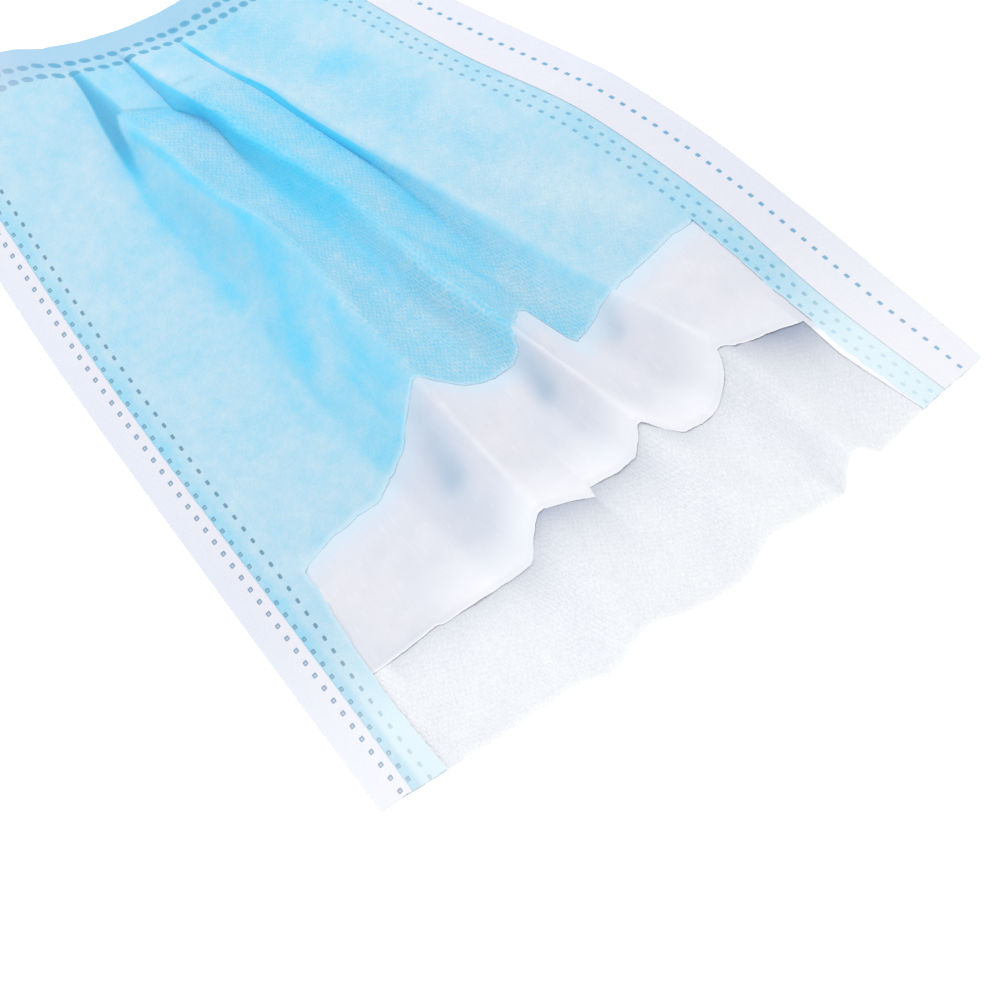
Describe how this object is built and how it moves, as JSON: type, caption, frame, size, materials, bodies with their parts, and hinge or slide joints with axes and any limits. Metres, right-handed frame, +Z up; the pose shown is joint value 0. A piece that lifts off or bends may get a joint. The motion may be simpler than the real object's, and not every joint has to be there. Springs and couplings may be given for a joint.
{
  "type": "disposable face mask",
  "caption": "Disposable pleated face mask lying outer side up, one end cut open so that the pleats fan out and the plies step back from the cut.",
  "frame": {"origin": "middle of the base of the bounding box, on the surface that the mask lies on", "axes": "+X along the mask from the welded end to the cut end, +Y across it to the wide hem, +Z up"},
  "size_m": [0.186, 0.1406, 0.0162],
  "materials": {
    "outer_blue": "matt pale blue point-bonded nonwoven",
    "filter_white": "smooth white meltblown nonwoven with a faint sheen",
    "inner_white": "matt white embossed nonwoven"
  },
  "bodies": {
    "root": {"outer_ply": "outer_blue", "filter_ply": "filter_white", "inner_ply": "inner_white"}
  },
  "joints": []
}
